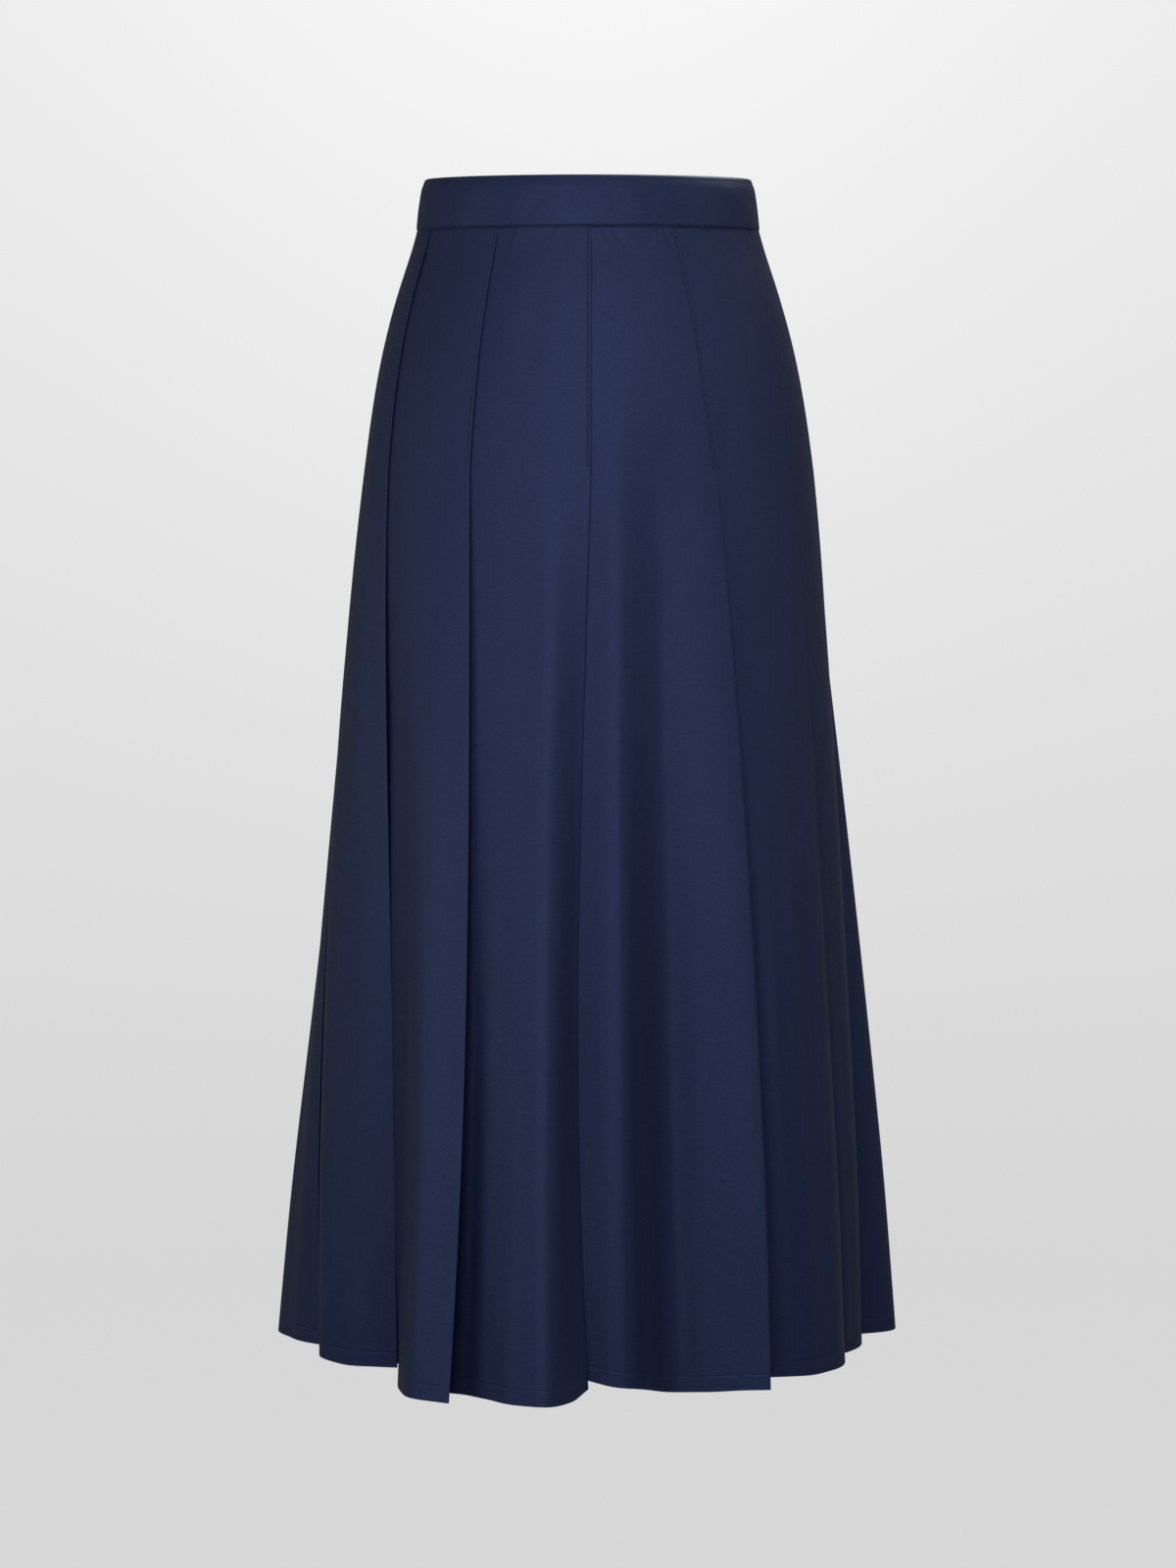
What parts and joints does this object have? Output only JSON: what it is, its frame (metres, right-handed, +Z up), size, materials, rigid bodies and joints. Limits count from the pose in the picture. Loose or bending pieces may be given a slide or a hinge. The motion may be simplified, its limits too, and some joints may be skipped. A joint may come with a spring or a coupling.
{
  "type": "pleated midi skirt",
  "caption": "Flared midi skirt of knife-pleated gores stitched down to the hip, on a plain folded waistband with a concealed centre-back zip; worn shape, no wearer.",
  "frame": {"origin": "centre of the waist, level with the waistband's top edge at the side seams", "axes": "+Z up along the wearer, front of the skirt faces -Y, the wearer's left side is +X"},
  "size_m": [0.4638, 0.4382, 0.87],
  "materials": {
    "cloth": "navy cotton satin, soft sheen",
    "tape": "woven navy zip tape",
    "enamel": "navy enamel"
  },
  "bodies": {
    "skirt": {"gore_0": "cloth", "gore_1": "cloth", "gore_2": "cloth", "gore_3": "cloth", "gore_4": "cloth", "gore_5": "cloth", "gore_6": "cloth", "gore_7": "cloth", "gore_8": "cloth", "gore_9": "cloth", "waistband": "cloth", "zip_tape": "tape", "zip_slider": "enamel"},
    "pull": {"zip_pull": "enamel"}
  },
  "joints": [
    {"name": "pull_swing", "type": "hinge", "parent": "skirt", "child": "pull", "pos_m": [0, 0.08892, 0], "axis": [1, 0, 0], "range_deg": [0, 165]}
  ]
}
